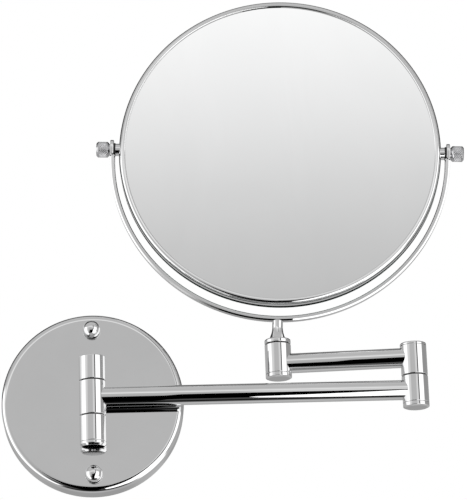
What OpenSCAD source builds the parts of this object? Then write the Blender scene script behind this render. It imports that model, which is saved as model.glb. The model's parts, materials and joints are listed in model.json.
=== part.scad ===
// Extendable shaving mirror for a bathroom wall.
// A round wall plate carries a three-part hinge post. A long arm swings on that post, a short arm
// swings on the elbow at its end, and a half-ring yoke turns on top of the short arm's swivel post.
// The two-sided round mirror tilts in the yoke, held by a knurled knob on each side.
//
// Millimetres. Origin: centre of the wall plate's back, in the wall's plane. +Z is up, +X is to the
// right of someone who faces the wall, and the room is on the -Y side.

/* [Wall plate] */
// Outside diameter of the pressed wall plate
plate_d = 114; // [100:1:140]
// How far the plate's face stands off the wall
plate_depth = 17.5; // [14:0.5:26]
// Sheet thickness of the plate
plate_wall = 1.2; // [0.8:0.1:2]
// Radius of the rolled edge between face and rim
plate_edge_r = 4; // [2:0.1:5]
// Distance between the two studs that hold the plate
stud_spacing = 92.4; // [84:0.2:95]
// Diameter of the studs
stud_d = 5; // [4:0.5:6]

/* [Fixing bar] */
// Width of the bar that is screwed to the wall
bar_w = 18; // [15:0.5:26]
// Thickness of the bar
bar_t = 2.5; // [1.5:0.5:4]
// Distance between the two wall screw holes
screw_spacing = 60; // [45:1:70]
// Diameter of the wall screw holes
screw_hole_d = 5.2; // [4:0.1:6.5]
// Length of stud that stands out of the plate into the dome nut
stud_reach = 5; // [4:0.5:7]

/* [Dome nuts] */
// Diameter of the domed head
dome_d = 11; // [9:0.5:14]
// Height of the straight part of the head
dome_side = 1.2; // [0.8:0.1:3]
// Diameter of the collar under the head
collar_d = 8.4; // [7.4:0.1:10]
// Height of the collar under the head
collar_h = 1.6; // [1:0.1:3]

/* [Hinge posts] */
// Outside diameter of every hinge post
post_d = 16.5; // [15.5:0.1:22]
// Gap between the wall hinge post and the plate's face
post_gap = 0.7; // [0.5:0.1:3]
// Diameter of the hinge bolts
bolt_d = 6; // [4:0.5:7]
// Wall of the nylon hinge bushes
bush_wall = 1.5; // [1:0.1:2]
// Diameter of the bush flanges that part the hinge sections
flange_d = 13.6; // [12:0.1:15]
// Thickness of the bush flanges
flange_t = 0.6; // [0.4:0.1:1.2]
// Length of each bush in its hub
bush_len = 5; // [4:0.5:6]
// Thickness of the end caps on the posts
cap_t = 3; // [2:0.1:4]
// Size of the chamfer on the lower end caps
cap_chamfer = 1.3; // [0.5:0.1:1.8]
// Running gap on the radius of the hinge bolts
run_gap = 0.05; // [0.02:0.01:0.1]

/* [Wall post] */
// Height of the fixed knuckle above the wall hub
upper_knuckle_h = 15.8; // [14:0.1:22]
// Height of the hub that carries the long arm
wall_hub_h = 21.5; // [19:0.1:30]
// Height of the fixed knuckle below the wall hub, without its cap
lower_knuckle_h = 16.9; // [14:0.1:24]
// Height of the wall hub's middle over the plate's centre
wall_hub_z = 0; // [-4:0.1:4]
// Height of the long arm over the wall hub's middle
arm_rise = 1; // [-3:0.1:3]
// Diameter of the screws that hold the knuckles to the plate
knuckle_screw_d = 4; // [3:0.5:4]

/* [Arms] */
// Outside diameter of the arm tubes
tube_d = 12.5; // [10:0.1:14]
// Wall of the arm tubes
tube_wall = 1; // [0.8:0.1:1.6]
// Long arm, from the wall post's axis to the elbow's axis
long_len = 201.5; // [150:0.5:260]
// Short arm, from the elbow's axis to the swivel post's axis
short_len = 85; // [65:0.5:130]
// Length of the spigots that hold the tubes on their hubs
spigot_len = 9; // [6:0.5:14]
// Elbow's lower hub, from its cap up to the long arm's axis
elbow_below = 8.5; // [8:0.1:12]
// Elbow's lower hub, from the long arm's axis up to the parting line
elbow_above = 9.2; // [8.6:0.1:14]
// Elbow's upper hub, from the parting line up to the short arm's axis
short_above_split = 11.7; // [9:0.1:16]
// Elbow's upper hub, from the short arm's axis up to its cap
elbow_top_rise = 7.3; // [7:0.1:12]

/* [Swivel post] */
// Swivel hub, from its lower cap up to the short arm's axis
swivel_below = 6.7; // [6.4:0.1:10]
// Swivel hub, from the short arm's axis up to the parting line
swivel_above = 12.2; // [10.5:0.1:18]
// Thickness of the turning cap on the swivel post
swivel_cap_t = 3.4; // [2.5:0.1:5]

/* [Yoke] */
// Height of the flared stem, from the swivel cap to the underside of the yoke
stem_h = 12.1; // [9:0.1:20]
// Diameter of the stem where it meets the yoke
stem_top_d = 6.6; // [6:0.1:8]
// Diameter of the stem's flared foot
stem_foot_d = 11.8; // [9:0.1:13]
// Height over which the stem flares
flare_h = 8.5; // [4:0.1:8.5]
// Outer radius of the yoke's half ring
yoke_out_r = 109.7; // [109:0.1:120]
// Thickness of the yoke bar along the radius
yoke_t = 3.2; // [2.6:0.1:3.4]
// Depth of the yoke bar, front to back
yoke_depth = 5.4; // [4:0.1:8]
// Rounding of the yoke bar's corners
yoke_round = 1.2; // [0.5:0.1:1.25]
// Height of the straight legs between the half ring and the tilt axis
yoke_leg = 4.1; // [3.7:0.1:12]
// Width of the flat eyes at the tilt axis, front to back
eye_w = 9.5; // [8.5:0.1:12]
// Thickness of the eyes
eye_t = 2.2; // [1.6:0.1:2.4]
// Height of the eyes' round tops over the tilt axis
eye_rise = 6.5; // [6:0.1:9]
// Lean of the yoke on its stem, to the right of someone who faces the mirror
yoke_lean = 2.9; // [0:0.1:3]

/* [Mirror head] */
// Outer radius of the mirror's frame
frame_r = 104; // [101:0.1:104.5]
// Depth of the frame, front to back
frame_depth = 10; // [9.6:0.1:12]
// Wall of the frame's outer band
band_t = 1.4; // [1:0.1:1.6]
// Radius of the rounded lips that hold the glasses
lip_r = 2.1; // [1.8:0.05:2.2]
// Depth of the glasses' seats under the lips
lip_seat = 1.7; // [1.4:0.05:1.7]
// Thickness of each glass
glass_t = 1.8; // [1.5:0.1:2]
// Radius that the magnifying glass is bent to
concave_r = 2000; // [2000:50:4000]
// Gap between the glasses' edges and the band
glass_gap = 0.5; // [0.3:0.1:0.8]

/* [Tilt studs and knobs] */
// Diameter of the studs that the mirror tilts on
tilt_stud_d = 5; // [4:0.1:5.5]
// Diameter of the bosses between frame and yoke
boss_d = 8; // [7:0.1:10]
// Thickness of the black washers between bosses and yoke
washer_t = 1; // [0.5:0.1:1.2]
// Outside diameter of the knurled knobs
knob_d = 10.2; // [9:0.1:14]
// Length of the knobs
knob_len = 8.2; // [7:0.1:12]
// Number of knurl ridges around a knob
knurl_count = 36; // [24:2:48]
// Depth of the knurl
knurl_depth = 0.35; // [0.2:0.05:0.5]
// Gap that the knob's neck bridges between eye and knob
neck_len = 0.7; // [0.3:0.1:1.5]

/* [Pose] */
// Swing of the long arm away from the wall, seen from above, negative into the room
long_yaw = 0; // [-40:0.1:0]
// Fold of the short arm over the long arm, seen from above
short_yaw = -6.1; // [-30:0.1:30]
// Turn of the mirror head to face the room
head_yaw = -3.1; // [-30:0.1:30]
// Tilt of the mirror, negative looks up
head_tilt = -0.5; // [-20:0.1:20]

/* [Hidden] */
$fn = 96;
eps = 0.02;   // gap between pieces of one assembly that are fixed to each other

plate_r = plate_d / 2;
post_r = post_d / 2;
bolt_r = bolt_d / 2;
bush_r = bolt_r + run_gap + bush_wall;
bush_in_r = bolt_r + run_gap;
flange_r = flange_d / 2;
tube_r = tube_d / 2;
tube_in_r = tube_r - tube_wall;
stud_r = stud_d / 2;
parting = flange_t + 2 * run_gap;        // gap between two hinge sections, filled by a flange

// Heights on the wall post
hub_top = wall_hub_z + wall_hub_h / 2;
hub_bottom = wall_hub_z - wall_hub_h / 2;
lower_bottom = hub_bottom - lower_knuckle_h;
long_z = wall_hub_z + arm_rise;
post_y = -(plate_depth + post_gap + post_r);
upper_bore = upper_knuckle_h - 2.5;      // depth of the bolt's blind bore in the upper knuckle

// Screws through the plate into the knuckles
upper_screw_z = hub_top + upper_knuckle_h / 2 + 1.5;
lower_screw_z = hub_bottom - lower_knuckle_h / 2 + 1;
foot_r = knuckle_screw_d / 2 + 2.6;
screw_grip = post_r - bolt_r - 0.8;      // thread that a screw has in its knuckle
screw_head_r = knuckle_screw_d * 0.95;
screw_head_h = knuckle_screw_d * 0.6;

// Heights on the elbow
elbow_bottom = long_z - elbow_below;
elbow_split = long_z + elbow_above;
short_z = elbow_split + short_above_split;
elbow_top = short_z + elbow_top_rise;

// Heights on the swivel post
swivel_bottom = short_z - swivel_below;
swivel_split = short_z + swivel_above;
swivel_top = swivel_split + swivel_cap_t;
head_rise = stem_h + yoke_out_r + yoke_leg;   // tilt axis over the swivel cap

// Bolt heads and nuts, sized from the bolt
head_r = bolt_r * 1.6;
head_h = bolt_r * 1.1;
nut_flats = bolt_d * 1.6;
nut_h = bolt_r * 1.2;
pocket_r = nut_flats / sqrt(3) + 0.4;
pocket_h = nut_h + 3.4;
wave_t = 0.8;
bolt_past = flange_t + wave_t + nut_h + 0.3;   // shank that stands in a nut's pocket
cap_plug = 1;                            // height of a lower cap's plug
top_cap_t = 1.6;                         // thickness of the elbow's top cap
top_cap_round = 0.8;
turning_cap_round = 0.5;

// The stem flares to its foot on an arc
flare = (stem_foot_d - stem_top_d) / 2;
flare_arc = (flare_h * flare_h + flare * flare) / (2 * flare);
saddle = 2;                              // stem left over to be cut under the yoke bar

// The mirror head
eye_in = yoke_out_r - eye_t;             // inner face of each eye
washer_r = boss_d / 2 + 0.4;
glass_r = frame_r - band_t - glass_gap;
half_depth = frame_depth / 2;
lip_out = frame_r - lip_r;
sight_r = lip_out - lip_r;               // radius of glass that shows
bulge = concave_r - sqrt(concave_r * concave_r - glass_r * glass_r);
skirt_h = 2.4;                           // rear bezel's skirt inside the band
foam_w = 6;                              // width of the foam ring between the glasses

// The knobs
knob_start = yoke_out_r + neck_len;
knob_bore = knob_len - 2;
knob_in_chamfer = 1;
knob_out_chamfer = 1;

steel = [0.82, 0.83, 0.85];
zinc = [0.62, 0.63, 0.62];
nylon = [0.92, 0.92, 0.9];
black = [0.08, 0.08, 0.08];
mirror_tint = [0.78, 0.84, 0.88];

// ---- places ----

module at_wall_post() translate([0, post_y, 0]) children();

module along_long_arm() at_wall_post() rotate([0, 0, long_yaw]) children();

module at_elbow() along_long_arm() translate([long_len, 0, 0]) children();

module along_short_arm() at_elbow() rotate([0, 0, 180 + short_yaw]) children();

module at_swivel() along_short_arm() translate([short_len, 0, 0]) children();

module at_cap_top() at_swivel() rotate([0, 0, 180 + head_yaw - short_yaw]) translate([0, 0, swivel_top])
    children();

// The tilt axis runs along X here, and the mirror looks along -Y
module in_yoke() at_cap_top() rotate([0, yoke_lean, 0]) translate([0, 0, head_rise]) children();

module in_head() in_yoke() rotate([head_tilt, 0, 0]) children();

// Both sides of the tilt axis, with +Z pointing out of the mirror
module both_sides() for (side = [1, -1]) rotate([0, 90 * side, 0]) children();

// Lies on the plate, with +Z pointing into the room
module on_plate() rotate([90, 0, 0]) children();

module at_studs() for (side = [1, -1]) translate([0, side * stud_spacing / 2, 0]) children();

// ---- shapes that repeat ----

module ring(r_out, r_in, h) difference() {
    cylinder(r = r_out, h = h);
    translate([0, 0, -1]) cylinder(r = r_in, h = h + 2);
}

// A cylinder whose lower rim is chamfered
module chamfered(r, h, c) rotate_extrude()
    polygon([[0, 0], [r - c, 0], [r, c], [r, h], [0, h]]);

// A lower end cap: a chamfered disc with a plug that fits the bolt head's pocket above it
module lower_cap() {
    chamfered(post_r, cap_t, cap_chamfer);
    translate([0, 0, cap_t]) cylinder(r = pocket_r - eps, h = cap_plug);
}

// The spigot that an arm tube slides over, along +X at height z
module spigot(z) translate([0, 0, z]) rotate([0, 90, 0])
    cylinder(r = tube_in_r - eps, h = post_r + spigot_len);

// The bore for a hinge bolt with its two bushes, from z = low to z = high
module bushed_bore(low, high) {
    translate([0, 0, low - 1]) cylinder(r = bolt_r + 0.4, h = high - low + 2);
    translate([0, 0, low - 1]) cylinder(r = bush_r + eps, h = bush_len + 1);
    translate([0, 0, high - bush_len]) cylinder(r = bush_r + eps, h = bush_len + 1);
}

// One flanged bush: its flange lies below z = 0 and its sleeve stands above
module bush() {
    ring(bush_r, bush_in_r, bush_len - eps);
    translate([0, 0, -flange_t]) ring(flange_r, bush_in_r, flange_t);
}

// A hexagonal lock nut with a rounded crown
module lock_nut() difference() {
    union() {
        cylinder(d = nut_flats * 2 / sqrt(3), h = nut_h * 0.7, $fn = 6);
        cylinder(r = nut_flats / 2 - 0.3, h = nut_h);
    }
    translate([0, 0, -1]) cylinder(r = bolt_r + eps, h = nut_h + 2);
}

// An arm tube along +X between two posts, coped to sit on both
module arm_tube(len, z) difference() {
    translate([0, 0, z]) rotate([0, 90, 0]) cylinder(r = tube_r, h = len);
    translate([-1, 0, z]) rotate([0, 90, 0]) cylinder(r = tube_in_r, h = len + 2);
    for (x = [0, len]) translate([x, 0, z - tube_r - 1]) cylinder(r = post_r + eps, h = tube_d + 2);
}

// Outline of the yoke bar, centred: a rectangle with rounded corners
module bar_outline() {
    square([yoke_t, yoke_depth - 2 * yoke_round], center = true);
    square([yoke_t - 2 * yoke_round, yoke_depth], center = true);
    for (x = [-1, 1], y = [-1, 1])
        translate([x * (yoke_t / 2 - yoke_round), y * (yoke_depth / 2 - yoke_round)]) circle(r = yoke_round);
}

// ---- wall mount ----

// Profile of the plate's pressed shell, grown inward by inset
module plate_profile(inset) {
    r = plate_edge_r - inset;
    square([plate_r - inset, plate_depth - plate_edge_r]);
    square([plate_r - plate_edge_r, plate_depth - inset]);
    translate([plate_r - plate_edge_r, plate_depth - plate_edge_r]) circle(r = r);
}

module wall_plate() color(steel) on_plate() difference() {
    rotate_extrude($fn = 180) plate_profile(0);
    translate([0, 0, -eps]) rotate_extrude($fn = 180) plate_profile(plate_wall);
    at_studs() cylinder(r = stud_r + 0.25, h = plate_depth + 1);
    for (z = [upper_screw_z, lower_screw_z])
        translate([0, z, 0]) cylinder(d = knuckle_screw_d + 0.4, h = plate_depth + 1);
}

module fixing_bar() color(zinc) on_plate() difference() {
    union() {
        translate([-bar_w / 2, -stud_spacing / 2, 0]) cube([bar_w, stud_spacing, bar_t]);
        at_studs() intersection() {
            cylinder(d = bar_w, h = bar_t);
            cylinder(r = plate_r - plate_wall - 0.5 - stud_spacing / 2, h = bar_t);
        }
    }
    at_studs() translate([0, 0, -1]) cylinder(r = stud_r + eps, h = bar_t + 2);
    for (side = [1, -1])
        translate([0, side * screw_spacing / 2, -1]) cylinder(d = screw_hole_d, h = bar_t + 2);
}

module plate_studs() color(zinc) on_plate() at_studs() {
    cylinder(r = stud_r, h = plate_depth + stud_reach);
    translate([0, 0, bar_t + eps]) cylinder(r = stud_r + 1.5, h = 1.5);
}

module dome_nuts() color(steel) on_plate() at_studs() translate([0, 0, plate_depth + eps]) difference() {
    union() {
        cylinder(d = collar_d, h = collar_h + 0.5);
        translate([0, 0, collar_h]) cylinder(d = dome_d, h = dome_side);
        translate([0, 0, collar_h + dome_side]) intersection() {
            sphere(d = dome_d);
            cylinder(d = dome_d, h = dome_d);
        }
    }
    translate([0, 0, -1]) cylinder(r = stud_r + eps, h = stud_reach + 1.3);
}

// The part of a knuckle that reaches back to the plate
module knuckle_foot(z) translate([0, 0, z]) rotate([-90, 0, 0]) cylinder(r = foot_r, h = post_r + post_gap);

module knuckle_screw_bore(z) translate([0, post_r + post_gap + 1, z]) rotate([90, 0, 0])
    cylinder(r = knuckle_screw_d / 2 + eps, h = screw_grip + post_gap + 1);

module upper_knuckle() color(steel) at_wall_post() difference() {
    union() {
        translate([0, 0, hub_top + parting]) cylinder(r = post_r, h = upper_knuckle_h - parting);
        knuckle_foot(upper_screw_z);
    }
    translate([0, 0, hub_top]) cylinder(r = bolt_r + eps, h = upper_bore);
    knuckle_screw_bore(upper_screw_z);
}

module lower_knuckle() color(steel) at_wall_post() difference() {
    union() {
        translate([0, 0, lower_bottom + eps]) cylinder(r = post_r, h = lower_knuckle_h - parting - eps);
        knuckle_foot(lower_screw_z);
    }
    translate([0, 0, lower_bottom - 1]) cylinder(r = bolt_r + eps, h = lower_knuckle_h + 2);
    translate([0, 0, lower_bottom - 1]) cylinder(r = pocket_r, h = pocket_h + 1);
    knuckle_screw_bore(lower_screw_z);
}

module knuckle_screws() color(zinc) on_plate() for (z = [upper_screw_z, lower_screw_z])
    translate([0, z, plate_depth - plate_wall - eps]) {
        cylinder(d = knuckle_screw_d, h = plate_wall + post_gap + screw_grip - 0.3);
        translate([0, 0, -screw_head_h]) cylinder(r = screw_head_r, h = screw_head_h);
    }

module wall_bolt() color(zinc) at_wall_post() {
    shank_low = lower_bottom + pocket_h;
    translate([0, 0, shank_low - eps]) cylinder(r = bolt_r, h = hub_top + upper_bore - 0.5 - shank_low);
    translate([0, 0, shank_low - head_h - eps]) cylinder(r = head_r, h = head_h);
}

module wall_post_cap() color(steel) at_wall_post() translate([0, 0, lower_bottom - cap_t]) lower_cap();

// ---- long arm ----

module wall_hub() color(steel) along_long_arm() difference() {
    union() {
        translate([0, 0, hub_bottom]) cylinder(r = post_r, h = wall_hub_h);
        spigot(long_z);
    }
    bushed_bore(hub_bottom, hub_top);
}

module wall_bushes() color(nylon) along_long_arm() {
    translate([0, 0, hub_bottom]) bush();
    translate([0, 0, hub_top]) mirror([0, 0, 1]) bush();
}

module long_tube() color(steel) along_long_arm() arm_tube(long_len, long_z);

module elbow_lower_hub() color(steel) at_elbow() difference() {
    union() {
        translate([0, 0, elbow_bottom + eps])
            cylinder(r = post_r, h = elbow_split - elbow_bottom - parting - eps);
        rotate([0, 0, 180]) spigot(long_z);
    }
    translate([0, 0, elbow_bottom - 1]) cylinder(r = bolt_r + eps, h = elbow_split - elbow_bottom + 2);
    translate([0, 0, elbow_bottom - 1]) cylinder(r = pocket_r, h = pocket_h + 1);
}

module elbow_bolt() color(zinc) at_elbow() {
    shank_low = elbow_bottom + pocket_h;
    translate([0, 0, shank_low - eps]) cylinder(r = bolt_r, h = elbow_top - pocket_h + bolt_past - shank_low);
    translate([0, 0, shank_low - head_h - eps]) cylinder(r = head_r, h = head_h);
}

module elbow_bottom_cap() color(steel) at_elbow() translate([0, 0, elbow_bottom - cap_t]) lower_cap();

module elbow_lock_nut() color(zinc) at_elbow()
    translate([0, 0, elbow_top - pocket_h + flange_t + wave_t + 3 * run_gap]) lock_nut();

module elbow_wave_washer() color(zinc) at_elbow()
    translate([0, 0, elbow_top - pocket_h + flange_t + 2 * run_gap]) ring(bush_r, bolt_r + eps, wave_t);

// ---- short arm ----

module elbow_upper_hub() color(steel) at_elbow() rotate([0, 0, 180 + short_yaw]) difference() {
    union() {
        translate([0, 0, elbow_split]) cylinder(r = post_r, h = elbow_top - elbow_split - eps);
        spigot(short_z);
    }
    bushed_bore(elbow_split, elbow_top - pocket_h);
    translate([0, 0, elbow_top - pocket_h]) cylinder(r = pocket_r, h = pocket_h + 1);
}

module elbow_bushes() color(nylon) at_elbow() {
    translate([0, 0, elbow_split]) bush();
    translate([0, 0, elbow_top - pocket_h]) mirror([0, 0, 1]) {
        ring(bush_r, bush_in_r, bush_len - eps);
        translate([0, 0, -flange_t]) ring(pocket_r - eps, bush_in_r, flange_t);
    }
}

module elbow_top_cap() color(steel) at_elbow() translate([0, 0, elbow_top]) {
    rotate_extrude() {
        square([post_r - top_cap_round, top_cap_t]);
        square([post_r, top_cap_t - top_cap_round]);
        translate([post_r - top_cap_round, top_cap_t - top_cap_round]) circle(r = top_cap_round);
    }
}

module short_tube() color(steel) along_short_arm() arm_tube(short_len, short_z);

module swivel_hub() color(steel) at_swivel() difference() {
    union() {
        translate([0, 0, swivel_bottom + eps]) cylinder(r = post_r, h = swivel_split - swivel_bottom - eps);
        rotate([0, 0, 180]) spigot(short_z);
    }
    bushed_bore(swivel_bottom + pocket_h, swivel_split);
    translate([0, 0, swivel_bottom - 1]) cylinder(r = pocket_r, h = pocket_h + 1);
}

module swivel_bushes() color(nylon) at_swivel() {
    translate([0, 0, swivel_bottom + pocket_h]) {
        ring(bush_r, bush_in_r, bush_len - eps);
        translate([0, 0, -flange_t]) ring(pocket_r - eps, bush_in_r, flange_t);
    }
    translate([0, 0, swivel_split]) mirror([0, 0, 1]) bush();
}

module swivel_bottom_cap() color(steel) at_swivel() translate([0, 0, swivel_bottom - cap_t]) lower_cap();

// ---- yoke ----

module swivel_cap() color(steel) at_swivel() translate([0, 0, swivel_split + parting]) difference() {
    height = swivel_cap_t - parting;
    rotate_extrude() {
        square([post_r - turning_cap_round, height]);
        square([post_r, height - turning_cap_round]);
        translate([post_r - turning_cap_round, height - turning_cap_round]) circle(r = turning_cap_round);
    }
    translate([0, 0, -1]) cylinder(r = bolt_r + eps, h = swivel_cap_t + 2);
}

module swivel_spindle() color(zinc) at_swivel() {
    low = swivel_bottom + pocket_h - bolt_past;
    translate([0, 0, low]) cylinder(r = bolt_r, h = swivel_top - 0.3 - low);
}

module swivel_lock_nut() color(zinc) at_swivel()
    translate([0, 0, swivel_bottom + pocket_h - flange_t - wave_t - 3 * run_gap])
        mirror([0, 0, 1]) lock_nut();

module swivel_wave_washer() color(zinc) at_swivel()
    translate([0, 0, swivel_bottom + pocket_h - flange_t - wave_t - 2 * run_gap])
        ring(bush_r, bolt_r + eps, wave_t);

// The stem leans with the yoke: its foot is cut flat on the cap, and its top is saddled under the yoke bar
module flared_stem() color(steel) difference() {
    at_cap_top() rotate([0, yoke_lean, 0]) translate([0, 0, -saddle / 2]) rotate_extrude() difference() {
        square([stem_foot_d / 2, stem_h + saddle]);
        translate([stem_top_d / 2 + flare_arc, flare_h + saddle / 2]) circle(r = flare_arc, $fn = 240);
        translate([stem_top_d / 2, flare_h + saddle / 2]) square([stem_foot_d, stem_h]);
    }
    in_yoke() yoke_ring(eps);
    at_cap_top() translate([0, 0, eps - post_r]) cylinder(r = post_r, h = post_r);
}

// The half ring of the yoke, with every side grown by skin
module yoke_ring(skin) rotate([-90, 0, 0]) translate([0, yoke_leg, 0])
    rotate_extrude(angle = 180, $fn = 240) translate([yoke_out_r - yoke_t / 2, 0]) {
        bar_outline();
        if (skin > 0) square([yoke_t + 2 * skin, yoke_depth + 2 * skin], center = true);
    }

// A flat eye with a round top, flush with the outer face of the bar
module eye() translate([eye_in, 0, 0]) {
    round_z = eye_rise - eye_w / 2;
    translate([0, 0, round_z]) rotate([0, 90, 0]) cylinder(d = eye_w, h = eye_t);
    translate([0, -eye_w / 2, -yoke_leg]) cube([eye_t, eye_w, yoke_leg + round_z]);
}

// The half ring with its legs and eyes; a spot face inside each eye clears the washer
module yoke() color(steel) in_yoke() difference() {
    union() {
        yoke_ring(0);
        for (side = [0, 1]) mirror([side, 0, 0]) {
            translate([yoke_out_r - yoke_t / 2, 0, -yoke_leg]) linear_extrude(yoke_leg) bar_outline();
            eye();
        }
    }
    rotate([0, 90, 0]) cylinder(r = washer_r + 0.4, h = 2 * eye_in, center = true);
    rotate([0, 90, 0]) cylinder(r = tilt_stud_d / 2 + run_gap, h = 2 * yoke_out_r + 2, center = true);
}

// ---- mirror head ----

// Lies in the mirror's plane, with +Z pointing out of its plain face
module mirror_plane() in_head() rotate([90, 0, 0]) children();

module frame_band() color(steel) mirror_plane() rotate_extrude($fn = 240) difference() {
    union() {
        translate([frame_r - band_t, lip_seat - half_depth]) square([band_t, frame_depth - lip_seat - lip_r]);
        translate([lip_out, half_depth - lip_r]) circle(r = lip_r);
    }
    translate([0, -half_depth]) square([glass_r + glass_gap, frame_depth - lip_seat]);
}

// The snapped-on lip of the back, with a thin skirt between the rear glass and the band
module rear_bezel() color(steel) mirror_plane() rotate_extrude($fn = 240) {
    difference() {
        translate([lip_out, lip_r - half_depth]) circle(r = lip_r);
        translate([0, lip_seat - half_depth - eps]) square([frame_r + 1, frame_depth]);
    }
    translate([glass_r + 2 * eps, lip_seat - half_depth - 2 * eps]) square([glass_gap - 3 * eps, skirt_h]);
}

module front_glass() color(mirror_tint) mirror_plane()
    translate([0, 0, half_depth - lip_seat - glass_t - eps]) cylinder(r = glass_r, h = glass_t, $fn = 240);

// A glass of even thickness, bent so that its middle is nearest the plain glass
module rear_glass() color(mirror_tint) mirror_plane() translate([0, 0, lip_seat - half_depth + eps])
    intersection() {
        translate([0, 0, bulge - concave_r]) difference() {
            sphere(r = concave_r + glass_t, $fn = 240);
            sphere(r = concave_r, $fn = 240);
        }
        cylinder(r = glass_r, h = bulge + glass_t + 1, $fn = 240);
    }

// The foam ring that keeps the two glasses apart and pressed on their lips
module glass_spacer() color(black) mirror_plane() {
    low = lip_seat - half_depth + glass_t + 0.5;
    high = half_depth - lip_seat - glass_t - 2 * eps;
    translate([0, 0, low]) ring(glass_r, glass_r - foam_w, high - low);
}

module tilt_studs() color(steel) in_head() both_sides() {
    translate([0, 0, frame_r + eps]) cylinder(d = boss_d, h = eye_in - washer_t - run_gap - frame_r - eps);
    translate([0, 0, frame_r + eps]) cylinder(d = tilt_stud_d, h = knob_start + knob_bore - 0.5 - frame_r);
}

module stud_washers() color(black) in_head() both_sides()
    translate([0, 0, eye_in - washer_t - run_gap + eps])
        ring(washer_r, tilt_stud_d / 2 + eps, washer_t - 2 * eps);

// The knurl's outline: ridges and grooves around the knob
module knurl_outline() polygon([for (i = [0:2 * knurl_count - 1])
    (knob_d / 2 - (i % 2) * knurl_depth) * [cos(i * 180 / knurl_count), sin(i * 180 / knurl_count)]]);

// A knurled knob that stands on +Z, from the eye's outer face
module knob() difference() {
    r = knob_d / 2;
    union() {
        translate([0, 0, yoke_out_r + run_gap]) cylinder(d = tilt_stud_d + 2.4, h = neck_len + 0.5);
        translate([0, 0, knob_start]) difference() {
            linear_extrude(knob_len) knurl_outline();
            rotate_extrude() {
                polygon([[r - knob_in_chamfer, 0], [r - knob_in_chamfer, -1], [r + 1, -1],
                         [r + 1, knob_in_chamfer + 1]]);
                polygon([[r - knob_out_chamfer, knob_len], [r - knob_out_chamfer, knob_len + 1],
                         [r + 1, knob_len + 1], [r + 1, knob_len - knob_out_chamfer - 1]]);
            }
        }
    }
    translate([0, 0, yoke_out_r - 1]) cylinder(r = tilt_stud_d / 2 + run_gap, h = 1 + neck_len + knob_bore);
}

module left_knob() color(steel) in_head() rotate([0, -90, 0]) knob();

module right_knob() color(steel) in_head() rotate([0, 90, 0]) knob();

wall_plate();
fixing_bar();
plate_studs();
dome_nuts();
upper_knuckle();
lower_knuckle();
knuckle_screws();
wall_bolt();
wall_post_cap();
wall_hub();
wall_bushes();
long_tube();
elbow_lower_hub();
elbow_bolt();
elbow_bottom_cap();
elbow_lock_nut();
elbow_wave_washer();
elbow_upper_hub();
elbow_bushes();
elbow_top_cap();
short_tube();
swivel_hub();
swivel_bushes();
swivel_bottom_cap();
swivel_cap();
swivel_spindle();
swivel_lock_nut();
swivel_wave_washer();
flared_stem();
yoke();
frame_band();
rear_bezel();
front_glass();
rear_glass();
glass_spacer();
tilt_studs();
stud_washers();
left_knob();
right_knob();
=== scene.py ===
"""The looks of a wall-mounted extendable shaving mirror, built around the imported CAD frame.

Everything is in metres in the CAD frame: the wall is y = 0, the room is on the -Y side, and +Z is up.
Each visible piece is a fine mesh that stands for its CAD node. Hidden hardware keeps its CAD mesh.
"""

import json
import math

import bmesh
import bpy
from mathutils import Matrix, Vector


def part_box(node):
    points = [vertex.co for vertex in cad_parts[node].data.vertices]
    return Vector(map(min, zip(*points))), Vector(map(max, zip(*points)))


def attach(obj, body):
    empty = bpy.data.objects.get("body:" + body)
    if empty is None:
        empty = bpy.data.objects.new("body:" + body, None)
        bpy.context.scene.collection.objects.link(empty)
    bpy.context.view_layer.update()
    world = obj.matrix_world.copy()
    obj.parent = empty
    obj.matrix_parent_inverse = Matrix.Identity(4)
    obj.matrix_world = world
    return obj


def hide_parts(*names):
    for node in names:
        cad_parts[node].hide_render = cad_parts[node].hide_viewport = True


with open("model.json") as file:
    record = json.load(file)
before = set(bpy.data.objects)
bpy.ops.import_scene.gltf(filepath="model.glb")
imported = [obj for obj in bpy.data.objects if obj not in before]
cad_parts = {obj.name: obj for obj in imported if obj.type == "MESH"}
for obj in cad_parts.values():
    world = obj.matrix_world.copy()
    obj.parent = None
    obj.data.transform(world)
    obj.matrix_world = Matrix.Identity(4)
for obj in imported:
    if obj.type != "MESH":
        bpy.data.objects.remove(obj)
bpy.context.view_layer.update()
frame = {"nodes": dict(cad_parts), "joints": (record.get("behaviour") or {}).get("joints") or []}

MM = 0.001
X, Y, Z = Vector((1, 0, 0)), Vector((0, 1, 0)), Vector((0, 0, 1))
ORIGIN = Vector((0, 0, 0))

# ---- sizes that the frame's boxes do not give ----

EDGE = 0.35 * MM             # softened edge of turned parts
PLATE_ROLL = 4 * MM          # rolled edge of the wall plate
PLATE_SHEET = 1.2 * MM       # sheet of the wall plate
CAP_CHAMFER = 1.3 * MM       # chamfer of the lower end caps, across
CAP_DROP = 0.6 * MM          # the same chamfer along the post, at the elbow and the swivel
CAP_PLUG = 1 * MM            # plug on top of each lower cap
CAP_PLUG_SHARE = 0.7         # radius of that plug, as a share of the post's
TOP_ROUND = 0.8 * MM         # rounded top edge of the elbow's cap
SWIVEL_ROUND = 0.9 * MM      # rounded top edge of the swivel's cap
BAR_T = 3.2 * MM             # yoke bar, along the radius
BAR_DEPTH = 5.4 * MM         # yoke bar, front to back
BAR_BEVEL_OUT = (1 * MM, 0.7 * MM)      # its outer bevels, along the radius and front to back
BAR_BEVEL_IN = (0.6 * MM, 0.75 * MM)    # its inner bevels
YOKE_OUT = 109.7 * MM        # outer radius of the yoke's half ring
YOKE_LEG = 4.1 * MM          # straight legs under the eyes
EYE_W = 9.5 * MM             # flat eyes at the tilt axis, front to back
EYE_T = 2.2 * MM             # thickness of the eyes
EYE_RISE = 6.5 * MM          # round tops of the eyes over the tilt axis
SPOT_GAP = 0.4 * MM          # room around a washer in the recess of its eye
FRAME_R = 104 * MM           # outer radius of the mirror's frame
FRAME_DEPTH = 10 * MM        # depth of the frame
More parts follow.
